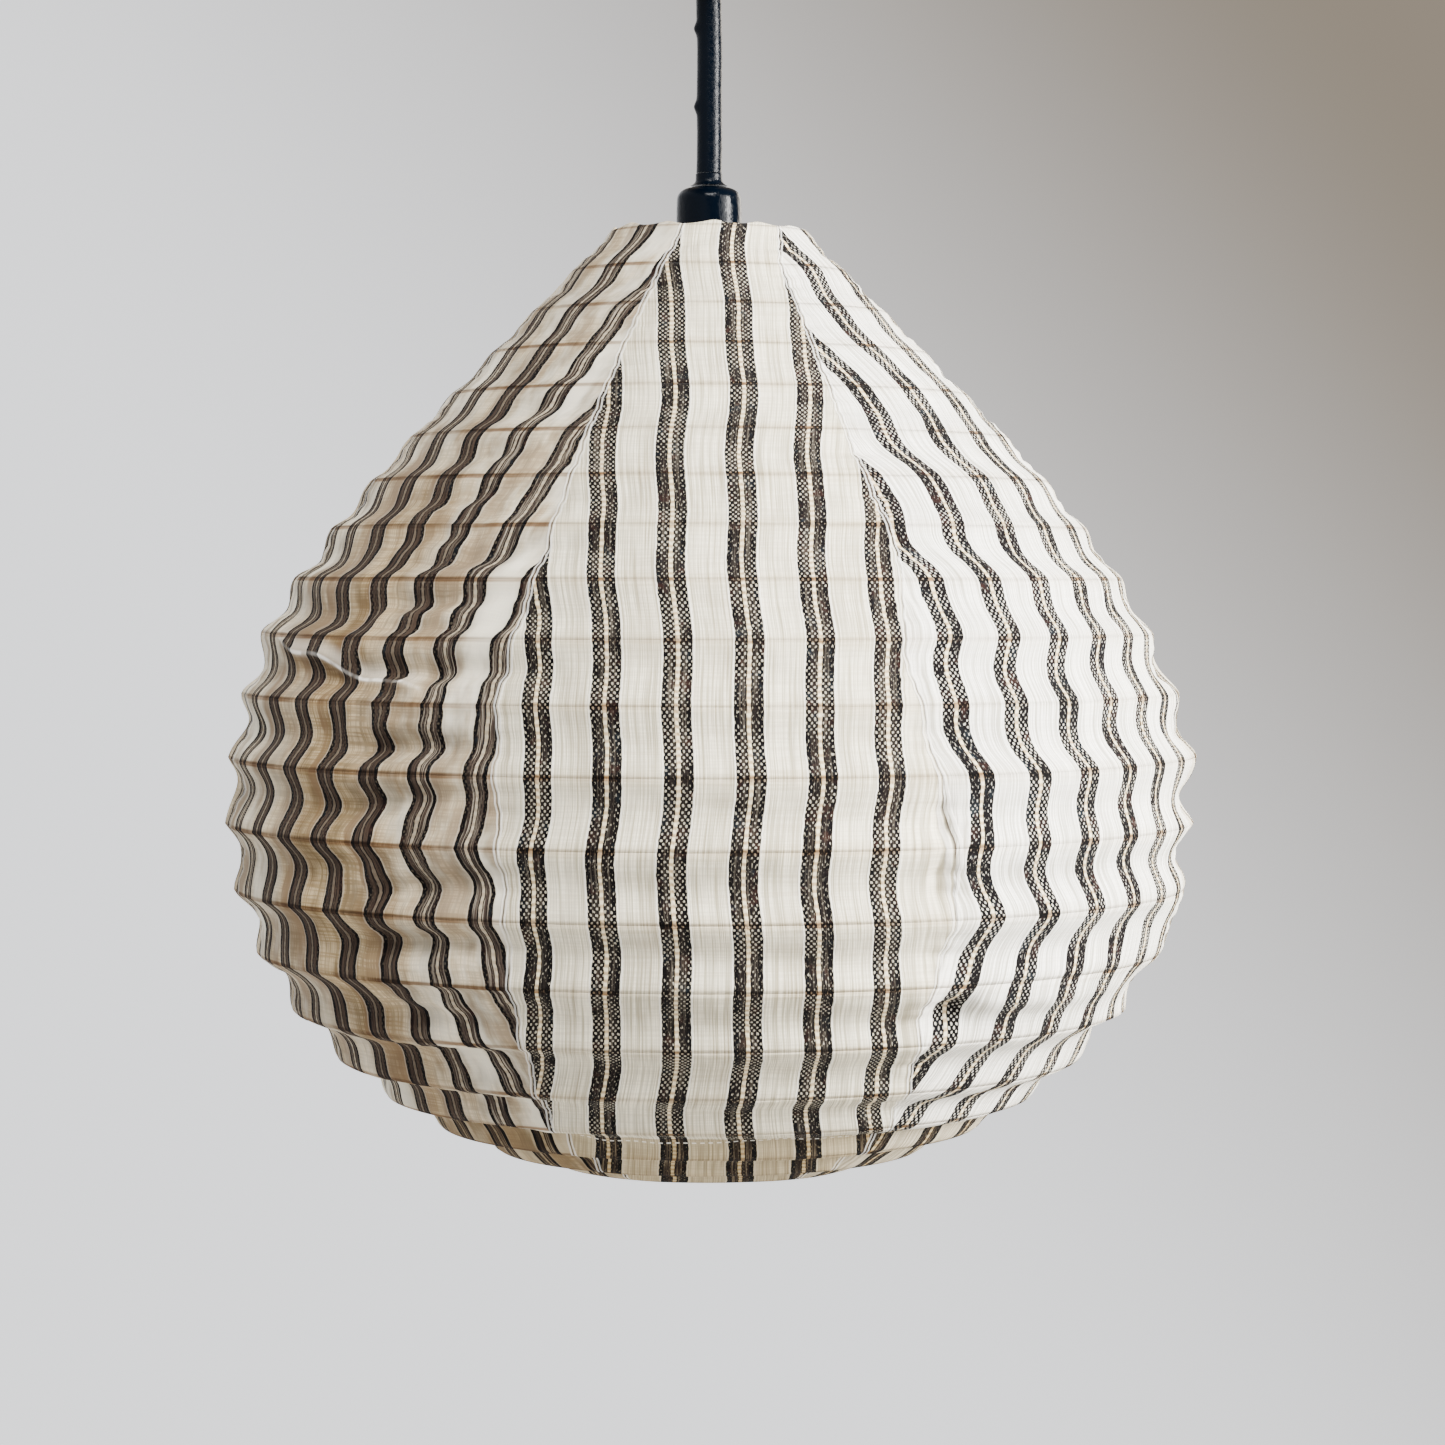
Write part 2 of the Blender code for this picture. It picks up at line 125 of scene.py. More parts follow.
def hoop(number):
    """(wire centre radius, height) of a hoop, from its CAD solid."""
    name = "ring_%02d" % number
    low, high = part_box(name)
    reach = max(math.hypot(v.co.x, v.co.y) for v in frame["nodes"][name].data.vertices)
    return reach - WIRE_R, (low.z + high.z) / 2


HOOPS = [hoop(number) for number in range(BANDS + 1)]
SHADE_TOP = HOOPS[0][1]
BODY = {node: body for body, nodes in frame["record"]["behaviour"]["bodies"].items() for node in nodes}


# ---- camera, lights and stage

def add_object(name, data):
    thing = bpy.data.objects.new(name, data)
    bpy.context.scene.collection.objects.link(thing)
    return thing


def aim(thing, target):
    thing.rotation_euler = (Vector(target) - thing.location).to_track_quat("-Z", "Y").to_euler()


def make_camera():
    data = bpy.data.cameras.new("camera")
    data.sensor_width = SENSOR
    data.lens = SENSOR * CAMERA_DISTANCE / FRAME_WIDTH
    camera = add_object("camera", data)
    camera.location = (CAMERA_SIDE, -CAMERA_DISTANCE, SHADE_TOP - HORIZON_DROP)
    camera.rotation_euler = (math.radians(90 - LOOK_DOWN), 0, 0)
    bpy.context.scene.camera = camera


def area_light(name, place, target, size, power, colour):
    data = bpy.data.lights.new(name, "AREA")
    data.shape = "RECTANGLE"
    data.size, data.size_y = size
    data.energy = power
    data.color = colour
    light = add_object(name, data)
    light.location = place
    aim(light, target)


def make_lights():
    """A key from the right, a front fill, a glint for the cord and a glow from behind."""
    middle = (0, 0, SHADE_TOP - 0.22)
    cord = (0, 0, SHADE_TOP + 0.05)
    area_light("key", (2.0, -1.2, 0.25), middle, (1.3, 1.5), 130, (1.0, 0.985, 0.95))
    area_light("front", (0.4, -2.2, 1.7), middle, (1.4, 1.0), 230, (1.0, 0.985, 0.96))
    area_light("glint", (1.9, -0.5, 0.1), cord, (0.5, 0.9), 230, (1.0, 0.99, 0.97))
    area_light("glow", (1.2, 1.7, -0.1), middle, (1.4, 1.4), 40, (1.0, 0.93, 0.82))


def make_floor():
    mesh = bpy.data.meshes.new("floor")
    shape = bmesh.new()
    bmesh.ops.create_circle(shape, cap_ends=True, segments=96, radius=FLOOR_RADIUS)
    shape.to_mesh(mesh)
    shape.free()
    floor = add_object("floor", mesh)
    floor.location = (0, 0, FLOOR_HEIGHT)
    paint = Paint("floor_paint", (0.74, 0.73, 0.71), 0.8)
    grain = paint.noise(paint.place(), 9, 4)
    paint.colour(paint.mix(paint.ramp(grain, 0.3, 0.7), (0.72, 0.71, 0.69), (0.76, 0.75, 0.73)))
    mesh.materials.append(paint.material)


def light_world():
    """Pale studio air, cooler on the left and a little darker and browner at the upper right."""
    world = bpy.data.worlds.new("studio")
    bpy.context.scene.world = world
    world.use_nodes = True
    tree = world.node_tree
    sky = tree.nodes["Background"]
    sky.inputs["Strength"].default_value = 1.65
    heading = tree.nodes.new("ShaderNodeTexCoord")
    slant = tree.nodes.new("ShaderNodeVectorMath")
    slant.operation = "DOT_PRODUCT"
    slant.inputs[1].default_value = (1.0, 0.0, 0.85)
    fade = tree.nodes.new("ShaderNodeMapRange")
    fade.interpolation_type = "SMOOTHSTEP"
    fade.inputs["From Min"].default_value = -0.16
    fade.inputs["From Max"].default_value = 0.29
    blend = tree.nodes.new("ShaderNodeMix")
    blend.data_type = "RGBA"
    blend.inputs["A"].default_value = (0.96, 0.97, 1.00, 1)
    blend.inputs["B"].default_value = (0.20, 0.17, 0.135, 1)
    tree.links.new(heading.outputs["Generated"], slant.inputs[0])
    tree.links.new(slant.outputs["Value"], fade.inputs["Value"])
    tree.links.new(fade.outputs[0], blend.inputs["Factor"])
    tree.links.new(blend.outputs["Result"], sky.inputs["Color"])


# ---- materials

class Paint:
    """A node material, with short ways to add and join its nodes."""

    def __init__(self, name, base, roughness, metallic=0.0):
        self.material = bpy.data.materials.new(name)
        self.material.use_nodes = True
        self.tree = self.material.node_tree
        self.shader = self.tree.nodes["Principled BSDF"]
        self.set("Base Color", (*base, 1))
        self.set("Roughness", roughness)
        self.set("Metallic", metallic)

    def set(self, socket, value):
        self.shader.inputs[socket].default_value = value

    def add(self, kind, **settings):
        node = self.tree.nodes.new(kind)
        for key, value in settings.items():
            setattr(node, key, value)
        return node

    def feed(self, socket, value):
        """Joins an output to an input, or sets the input to a number or a colour."""
        if isinstance(value, bpy.types.NodeSocket):
            self.tree.links.new(value, socket)
        elif isinstance(value, tuple) and len(value) == 3 and socket.type == "RGBA":
            socket.default_value = (*value, 1)
        else:
            socket.default_value = value

    def math(self, operation, a, b=0.0, clamp=False):
        node = self.add("ShaderNodeMath", operation=operation, use_clamp=clamp)
        self.feed(node.inputs[0], a)
        self.feed(node.inputs[1], b)
        return node.outputs[0]

    def plus(self, a, b):
        return self.math("ADD", a, b)

    def minus(self, a, b):
        return self.math("SUBTRACT", a, b)

    def times(self, a, b, clamp=False):
        return self.math("MULTIPLY", a, b, clamp)

    def size(self, a):
        return self.math("ABSOLUTE", a)

    def sine(self, a, rate=1.0):
        return self.math("SINE", self.times(a, rate))

    def mix(self, share, a, b, blend="MIX"):
        node = self.add("ShaderNodeMix", data_type="RGBA", blend_type=blend)
        self.feed(node.inputs["Factor"], share)
        self.feed(node.inputs["A"], a)
        self.feed(node.inputs["B"], b)
        return node.outputs["Result"]

    def ramp(self, value, low, high, start=0.0, end=1.0):
        """Smooth step from start to end as value goes from low to high."""
        node = self.add("ShaderNodeMapRange", interpolation_type="SMOOTHSTEP")
        for socket, number in zip(node.inputs[:5], (value, low, high, start, end)):
            self.feed(socket, number)
        return node.outputs[0]

    def place(self):
        return self.add("ShaderNodeTexCoord").outputs["Object"]

    def stretch(self, vector, scale):
        node = self.add("ShaderNodeMapping")
        self.feed(node.inputs["Vector"], vector)
        node.inputs["Scale"].default_value = scale
        return node.outputs[0]

    def noise(self, vector, scale, detail=2.0, rough=0.5):
        node = self.add("ShaderNodeTexNoise")
        self.feed(node.inputs["Vector"], vector)
        for socket, number in (("Scale", scale), ("Detail", detail), ("Roughness", rough)):
            node.inputs[socket].default_value = number
        return node.outputs[0]

    def join(self, x, y, z=0.0):
        node = self.add("ShaderNodeCombineXYZ")
        for socket, value in zip(node.inputs, (x, y, z)):
            self.feed(socket, value)
        return node.outputs[0]

    def uv(self, name):
        node = self.add("ShaderNodeUVMap", uv_map=name)
        parts = self.add("ShaderNodeSeparateXYZ")
        self.feed(parts.inputs[0], node.outputs[0])
        return parts.outputs[0], parts.outputs[1]

    def colour(self, value):
        self.feed(self.shader.inputs["Base Color"], value)

    def rough(self, value):
        self.feed(self.shader.inputs["Roughness"], value)

    def bump(self, height, depth, strength=1.0):
        node = self.add("ShaderNodeBump")
        self.feed(node.inputs["Height"], height)
        node.inputs["Distance"].default_value = depth
        node.inputs["Strength"].default_value = strength
        self.feed(self.shader.inputs["Normal"], node.outputs[0])


class ClothPaint(Paint):
    """The cloth's paint, with the places and yarns that its parts share.

    The first UV map holds the place across the stripes, in stripe spacings, and the run down the
    cloth in metres. The second holds the distances to the nearest seam and the nearest hoop.
    """

    def __init__(self):
        super().__init__("striped_cotton", (0.80, 0.77, 0.69), 0.92)
        across, self.run = self.uv("weave")
        self.seam, self.wire = self.uv("edges")
        # A colour attribute: each gore's painted light and shade, and in its alpha how much painted
        # backlight shows through
        painted_light = self.add("ShaderNodeAttribute", attribute_name="painted_light")
        self.shade, self.painted_backlight = painted_light.outputs["Color"], painted_light.outputs["Alpha"]
        self.side = self.times(across, STRIPE_PITCH)
        self.cloth = self.join(self.side, self.run)
        self.hem = self.ramp(self.run, HEM_FROM - 0.0004, HEM_FROM + 0.0004)
        self.warp = self.yarn(1250, 16, 2, 0.7)
        self.weft = self.yarn(30, 1100, 1, 0.5)
        # Distance from the middle of the nearest stripe
        wander = self.times(self.minus(self.noise(self.cloth, 260, 2), 0.5), 0.0010)
        turn = self.minus(self.math("FRACT", self.plus(across, 100.5)), 0.5)
        self.gap = self.plus(self.size(self.times(turn, STRIPE_PITCH)), wander)
        self.stripe = self.ramp(self.gap, HALF_STRIPE, HALF_STRIPE + SOFT, 1.0, 0.0)
        self.plain = self.minus(1.0, self.stripe)
        self.gold = self.ramp(self.gap, HALF_GOLD, HALF_GOLD + 0.0004, 1.0, 0.0)
        self.cord = self.times(self.ramp(self.gap, HALF_STRIPE, HALF_STRIPE + SOFT),
                               self.ramp(self.gap, CORD_END, CORD_END + SOFT, 1.0, 0.0))
        self.stitches = self.times(self.ramp(self.seam, 0.0004, 0.0007),
                                   self.ramp(self.seam, 0.0012, 0.0016, 1.0, 0.0))

    def yarn(self, across, along, detail=2.0, rough=0.5):
        """Noise drawn out into threads, with that many to a metre each way."""
        return self.noise(self.stretch(self.cloth, (across, along, 1)), 1.0, detail, rough)


def ground_threads(p):
    """Slubs down the cloth and fainter picks across it, the picks showing more with painted backlight;
    then each gore's painted light and shade, with blotches of it where painted backlight shows.
    """
    ground = p.mix(p.ramp(p.warp, 0.32, 0.66), (0.47, 0.45, 0.40), (1.10, 1.10, 1.11))
    picks = p.plus(0.16, p.times(p.painted_backlight, 0.70))
    ground = p.mix(p.times(p.ramp(p.weft, 0.38, 0.62), picks), ground, (0.56, 0.51, 0.43))
    # Each gore's painted light and shade
    ground = p.mix(1.0, ground, p.shade, "MULTIPLY")
    # Blotches of painted light and shade where painted backlight shows
    painted_light_blotches = p.ramp(p.yarn(48, 34, 3, 0.6), 0.36, 0.62)
    return p.mix(p.painted_backlight, ground, p.mix(painted_light_blotches, (0.66, 0.62, 0.56), (1.34, 1.34, 1.32)), "MULTIPLY")


def painted_far_shadows(p, ground):
    """Painted shadows of the far side seen through the backlit cloth, soft brown clouds and the ghosts
    of its bent stripes, and painted light that makes the cloth paler towards the seam.
    """
    cloud = p.yarn(30, 15, 4, 0.62)
    bend = p.times(p.noise(p.cloth, 24, 3), 5.5)
    ghost = p.math("SINE", p.plus(p.times(p.side, 190.0), bend))
    # Painted shadows of the far side's cloth and stripes
    behind = p.plus(p.times(p.ramp(cloud, 0.46, 0.64), 0.75),
                    p.times(p.ramp(ghost, 0.55, 0.80), p.ramp(cloud, 0.38, 0.50, 0.0, 0.80)))
    behind = p.times(behind, p.painted_backlight, clamp=True)
    ground = p.mix(p.times(behind, 0.85), ground, (0.185, 0.115, 0.058))
    # Painted light: paler cloth towards the seam
    painted_seam_light = p.times(p.ramp(p.seam, 0.010, 0.095, 0.86, 0.0), p.painted_backlight)
    painted_seam_light = p.times(painted_seam_light, p.ramp(cloud, 0.36, 0.58, 1.0, 0.15))
    return p.mix(painted_seam_light, ground, (0.84, 0.81, 0.69))


def pepper_weave(p):
    """Dark and pale floats in a small check, which drifts into upright dashes."""
    lean = p.times(p.minus(p.noise(p.cloth, 300, 2), 0.5), 3.4)
    step_x = p.math("SINE", p.plus(p.times(p.side, 2550.0), lean))
    step_y = p.math("SINE", p.plus(p.times(p.run, 2200.0), lean))
    check = p.times(step_x, step_y)
    dashes = p.minus(p.yarn(1900, 520, 1), 0.50)
    kind = p.times(p.ramp(p.noise(p.cloth, 42, 2), 0.42, 0.58), p.minus(1.0, p.hem))
    return p.plus(p.times(check, p.plus(0.25, p.times(kind, 0.75))),
                  p.times(dashes, p.minus(2.0, kind)))


def stripes(p, ground, pepper):
    """Charcoal stripes with gold and white cords; with painted backlight, painted light gives paler
    yarn in their halves near the seam, and painted shade darkens the stripes and gold and dims the
    cords.
    """
    # Painted backlight, and the doubled hem, thin the pale floats in the stripes
    backlight_and_hem = p.plus(p.times(p.painted_backlight, 0.74), p.times(p.hem, 0.30))
    # Painted shade on the backlit gore, away from the seam
    far = p.times(p.ramp(p.seam, 0.022, 0.060), p.ramp(p.painted_backlight, 0.6, 0.95))
    # Pale floats, tinted by the gore's painted light and shade
    pale_float = p.mix(0.80, (0.58, 0.55, 0.50), p.shade, "MULTIPLY")
    speckle = p.times(p.ramp(pepper, 0.20, 0.56), p.minus(0.88, backlight_and_hem), clamp=True)
    band = p.mix(speckle, (0.0030, 0.0022, 0.0024), pale_float)
    tinge = p.ramp(p.noise(p.cloth, 130, 3, 0.7), 0.50, 0.72, 0.0, 0.30)
    hue = p.ramp(p.noise(p.cloth, 77, 1), 0.45, 0.55)
    band = p.mix(tinge, band, p.mix(hue, (0.070, 0.028, 0.020), (0.018, 0.030, 0.040)))

    # Paler yarn in the stripes' halves: painted light near the seam, painted shade far from it
    core = p.times(p.ramp(p.gap, 0.0038, 0.0044, 1.0, 0.0), p.ramp(p.gap, 0.0012, 0.0016))
    streak = p.ramp(p.yarn(1500, 40, 2, 0.6), 0.35, 0.62, 0.25, 1.0)
    core = p.times(p.times(core, streak), p.times(backlight_and_hem, 1.3))
    strand = p.ramp(p.yarn(1100, 24, 2, 0.7), 0.50, 0.60)
    near = p.mix(strand, (0.060, 0.043, 0.034), (0.42, 0.36, 0.28))
    band = p.mix(core, band, p.mix(far, near, (0.062, 0.041, 0.029)))

    gold = p.mix(p.ramp(p.sine(p.run, 2100.0), -0.9, 0.7), (0.54, 0.40, 0.22), (0.90, 0.80, 0.56))
    # Gold thread darkened by painted backlight and by painted shade away from the seam
    gold = p.mix(p.times(p.painted_backlight, 0.75), gold, (0.36, 0.30, 0.23))
    gold = p.mix(p.times(far, 0.85), gold, (0.085, 0.060, 0.042))
    # White cords dimmed by painted backlight and tinted by the gore's painted light and shade
    cords = p.times(p.cord, p.minus(0.85, p.times(p.painted_backlight, 0.6)))
    weave = p.mix(p.stripe, ground, band)
    weave = p.mix(cords, weave, p.mix(0.5, (0.98, 0.97, 0.94), p.shade, "MULTIPLY"))
    return p.mix(p.times(p.gold, 0.95), weave, gold)


def crease(p, weave):
    """A painted highlight along a crease on the most backlit gore, a soft painted glow round it, and
    painted shade below.
    """
    (start, high), (end, low) = CREASE
    height, rate = CREASE_WAVE
    pitch, phase = CUTS[-1][:2]
    place = p.plus(p.times(p.side, pitch / STRIPE_PITCH), phase - start)
    bend = p.times(p.sine(p.plus(place, start), rate), height)
    line = p.plus(p.times(place, (low - high) / (end - start)), p.plus(bend, high))
    below = p.minus(p.run, line)
    width = end - start
    within = p.times(p.ramp(place, 0.0, 0.02), p.ramp(place, width, width - 0.012))
    within = p.times(within, p.ramp(p.painted_backlight, 0.90, 0.95))
    broken = p.ramp(p.noise(p.cloth, 95, 2), 0.42, 0.56, 0.25, 1.0)
    lit = p.times(p.ramp(p.size(below), 0.0002, 0.0013, 1.0, 0.0), within)
    lit = p.times(p.times(lit, broken), p.minus(1.0, p.times(p.stripe, 0.75)))
    haze = p.times(p.ramp(p.size(p.plus(below, 0.003)), 0.0, 0.0065, 0.40, 0.0), within)
    weave = p.mix(p.times(haze, p.plain), weave, (0.88, 0.83, 0.72))
    weave = p.mix(p.times(lit, 0.85), weave, (0.97, 0.94, 0.87))
    under = p.times(p.ramp(below, 0.0008, 0.0022), p.ramp(below, 0.0030, 0.0085, 0.45, 0.0))
    return p.mix(p.times(under, within), weave, (0.42, 0.32, 0.20), "MULTIPLY")


def hem_behind(p, weave):
    """The hem behind: painted shade where the doubled cloth lies, a painted shadow along its raw edge,
    and the row of stitches that holds it.
    """
    # Painted shade where the doubled hem lies behind the cloth
    weave = p.mix(p.times(p.hem, 0.80), weave, (0.60, 0.51, 0.36), "MULTIPLY")
    # Painted shadow along the hem's raw edge
    raw_edge_shadow = p.size(p.minus(p.run, HEM_FROM))
    weave = p.mix(p.ramp(raw_edge_shadow, 0.0003, 0.0011, 0.45, 0.0), weave, (0.42, 0.32, 0.20), "MULTIPLY")
    row = p.size(p.minus(p.run, HEM_FROM + 0.0035))
    stitch = p.times(p.ramp(row, 0.0003, 0.0006, 1.0, 0.0), p.ramp(p.sine(p.side, 1700.0), -0.3, 0.1))
    return p.mix(p.times(stitch, 0.8), weave, (0.90, 0.87, 0.79))


def painted_hoop_shadows(p, weave):
    """Painted shadows of the hoop wires seen through the cloth: brown lines, stronger with painted
    backlight, dark bars on the stripes, and faint painted shade beside each hoop.
    """
    fade = p.ramp(p.yarn(16, 60, 2), 0.30, 0.62, 0.35, 1.0)
    # Painted shadow lines of the hoop wires
    line = p.times(p.ramp(p.wire, 0.0007, 0.0017, 1.0, 0.0), fade)
    strength = p.math("MAXIMUM", p.plus(0.16, p.times(p.painted_backlight, 0.70)), p.times(p.stripe, 0.90))
    weave = p.mix(p.times(line, strength), weave, (0.30, 0.19, 0.12), "MULTIPLY")
    # Faint painted shade beside each hoop on the plain cloth
    glow = p.times(p.ramp(p.wire, 0.0016, 0.0055, 0.20, 0.0), p.plain)
    return p.mix(p.times(glow, fade), weave, (0.70, 0.58, 0.40), "MULTIPLY")


def seams(p, weave):
    """A fold line with its white thread, painted shade of the double cloth behind, and painted shade
    where the seam gapes.
    """
    # Painted shade of the seam allowance behind the cloth
    lap_shade = p.ramp(p.seam, 0.0065, 0.0085, 0.10, 0.0)
    weave = p.mix(lap_shade, weave, (0.55, 0.47, 0.36), "MULTIPLY")
    weave = p.mix(p.times(p.stitches, 0.55), weave, (0.95, 0.93, 0.88))
    # The seam's dark fold line, widened into painted shade where the seam gapes
    fold = p.times(p.ramp(p.seam, 0.0001, 0.0006, 1.0, 0.0),
                   p.ramp(p.noise(p.cloth, 38, 2), 0.42, 0.60, 0.15, 0.95))
    return p.mix(fold, weave, (0.060, 0.045, 0.035))


def stripe_cloth():
    """Cream cotton with peppered charcoal stripes, a gold thread in each and white cords beside."""
    p = ClothPaint()
    pepper = pepper_weave(p)
    weave = stripes(p, painted_far_shadows(p, ground_threads(p)), pepper)
    for part in (crease, hem_behind, painted_hoop_shadows, seams):
        weave = part(p, weave)
    p.colour(weave)
    p.rough(p.ramp(p.warp, 0.2, 0.8, 0.97, 0.84))
    p.set("Specular IOR Level", 0.06)
    p.set("Sheen Weight", 0.02)
    p.set("Sheen Roughness", 0.6)

    relief = p.plus(p.times(p.warp, 0.8), p.times(p.weft, 0.5))
    relief = p.plus(relief, p.times(p.times(pepper, p.stripe), 0.6))
    relief = p.plus(relief, p.times(p.plus(p.cord, p.gold), 0.8))
    relief = p.plus(relief, p.times(p.stitches, 1.2))
    p.bump(relief, 0.0004, 0.6)

    # Light that comes through the cloth
    through = p.add("ShaderNodeBsdfTranslucent")
    p.feed(through.inputs["Color"], p.mix(1.0, weave, (1.0, 0.90, 0.72), "MULTIPLY"))
    both = p.add("ShaderNodeMixShader")
    both.inputs[0].default_value = 0.30
    p.feed(both.inputs[1], p.shader.outputs[0])
    p.feed(both.inputs[2], through.outputs[0])
    p.feed(p.tree.nodes["Material Output"].inputs["Surface"], both.outputs[0])
    return p.material


def black_gloss(name, grain, roughness=0.16):
    """Black with a navy cast, orange-peel in its gloss, and fine dust."""
    p = Paint(name, (0.006, 0.008, 0.015), roughness)
    peel = p.noise(p.place(), grain, 3, 0.6)
    dust = p.noise(p.place(), 2600, 2, 0.7)
    p.colour(p.mix(p.ramp(dust, 0.66, 0.80, 0.0, 0.4), (0.0003, 0.0012, 0.0030), (0.010, 0.013, 0.018)))
    p.rough(p.ramp(peel, 0.3, 0.7, roughness * 0.7, roughness * 1.7))
    p.set("Specular IOR Level", 0.06)
    p.bump(peel, 0.00028, 0.8)
    return p.material


def metal(name, base, roughness, metallic=1.0, grain=600):
    p = Paint(name, base, roughness, metallic)
    wear = p.noise(p.place(), 120, 4, 0.65)
    fine = p.noise(p.place(), grain, 3, 0.6)
    darker = tuple(c * 0.72 for c in base)
    p.colour(p.mix(p.ramp(wear, 0.42, 0.70), base, darker))
    p.rough(p.ramp(fine, 0.3, 0.7, roughness * 0.75, roughness * 1.3))
    p.bump(fine, 0.00012, 0.4)
    return p.material


def glazed(name, base, roughness):
    p = Paint(name, base, roughness)
    mottle = p.noise(p.place(), 260, 3, 0.6)
    p.colour(p.mix(p.ramp(mottle, 0.4, 0.7), base, tuple(c * 0.90 for c in base)))
    p.rough(p.ramp(mottle, 0.3, 0.7, roughness * 0.8, roughness * 1.3))
    p.set("Coat Weight", 0.4)
    p.bump(mottle, 0.0002, 0.2)
    return p.material


def opal(name):
    p = Paint(name, (0.93, 0.92, 0.89), 0.30)
    cloud = p.noise(p.place(), 90, 3, 0.5)
    p.colour(p.mix(p.ramp(cloud, 0.35, 0.65), (0.90, 0.89, 0.85), (0.96, 0.95, 0.93)))
    p.rough(p.ramp(cloud, 0.3, 0.7, 0.22, 0.36))
    p.set("Subsurface Weight", 0.25)
    p.set("Subsurface Scale", 0.004)
    p.bump(cloud, 0.0001, 0.1)
    return p.material


# ---- mesh helpers

def new_mesh(name, points, faces, material):
    mesh = bpy.data.meshes.new(name)
    mesh.from_pydata([tuple(p) for p in points], [], faces)
    mesh.materials.append(material)
    mesh.shade_smooth()
    thing = add_object(name, mesh)
    return thing


def lathe(name, profile, material, node, steps=72, closed=False, sharp=35, dent=None):
    """A turned solid that stands for a CAD node, from a profile that runs down its outer side."""
    points, rows, faces = [], [], []
    for radius, height in profile:
        if radius < 1e-6:
            rows.append([len(points)] * steps)
            points.append((0, 0, height))
            continue
        rows.append(list(range(len(points), len(points) + steps)))
        for k in range(steps):
            turn = 2 * math.pi * k / steps
            r = radius + (dent(radius, turn, height) if dent else 0.0)
            points.append((r * math.cos(turn), r * math.sin(turn), height))
    pairs = list(zip(rows, rows[1:])) + ([(rows[-1], rows[0])] if closed else [])
    for upper, lower in pairs:
        for k in range(steps):
            after = (k + 1) % steps
            corners = [upper[k], lower[k], lower[after], upper[after]]
            face = [c for i, c in enumerate(corners) if c != corners[i - 1]]
            if len(face) > 2:
                faces.append(face)
    thing = new_mesh(name, points, faces, material)
    thing.data.set_sharp_from_angle(angle=math.radians(sharp))
    return place_for(thing, node)


def rounded(points, radius, steps=4):
    """The profile with its inner corners rounded by arcs of about that radius."""
    found = [points[0]]
    for before, corner, after in zip(points, points[1:], points[2:]):
        a, b, c = (Vector((*p, 0)) for p in (before, corner, after))
        reach = min(radius, (a - b).length * 0.45, (c - b).length * 0.45)
        start, end = b + (a - b).normalized() * reach, b + (c - b).normalized() * reach
        found += [(p.x, p.y) for p in interpolate_bezier(start, start.lerp(b, 0.55),
                                                         end.lerp(b, 0.55), end, steps + 1)]
    return found + [points[-1]]


def ring_profile(points, radius, steps=3):
    """A closed profile with every corner rounded."""
    looped = [points[-1], *points, points[0]]
    return rounded(looped, radius, steps)[1:-1]


def rod_faces(rows):
    """Faces of a rod, from the numbers of the points in each ring round it."""
    sides = len(rows[0])
    faces = []
    for first, second in zip(rows, rows[1:]):
        for k in range(sides):
            after = (k + 1) % sides
            faces.append([first[k], first[after], second[after], second[k]])
    return faces + [list(reversed(rows[0])), list(rows[-1])]


def tube(name, points, radius, material, node, sides=12):
    """Round wire along the points that stands for a CAD node."""
    route = [Vector(p) for p in points]
    rings, rows = [], []
    side = Vector((0, 1, 0))
    for i, point in enumerate(route):
        along = (route[min(i + 1, len(route) - 1)] - route[max(i - 1, 0)]).normalized()
        side = (side - along * side.dot(along)).normalized()
        up = along.cross(side)
        rows.append(range(len(rings), len(rings) + sides))
        for k in range(sides):
            turn = 2 * math.pi * k / sides
            rings.append(point + (side * math.cos(turn) + up * math.sin(turn)) * radius)
    return place_for(new_mesh(name, rings, rod_faces(rows), material), node)


def skin(node, paint, bevel=0.0, smooth=0):
    """A finer copy of a CAD solid, with its edges rounded or its facets smoothed."""
    source = frame["nodes"][node]
    mesh = source.data.copy()
    mesh.transform(source.matrix_world)
    mesh.materials.clear()
    mesh.materials.append(paint)
    mesh.shade_smooth()
    mesh.set_sharp_from_angle(angle=math.radians(40))
    thing = add_object("fine_" + node, mesh)
    if bevel:
        edge = thing.modifiers.new("edge", "BEVEL")
        edge.width, edge.segments, edge.angle_limit = bevel, 3, math.radians(40)
        edge.harden_normals = True
    if smooth:
        finer = thing.modifiers.new("finer", "SUBSURF")
        finer.levels = finer.render_levels = smooth
    place_for(thing, node)


def place_for(thing, node):
    """The piece stands for the CAD node and moves with its body."""
    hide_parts(node)
    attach(thing, BODY[node])
    return thing


# ---- cord

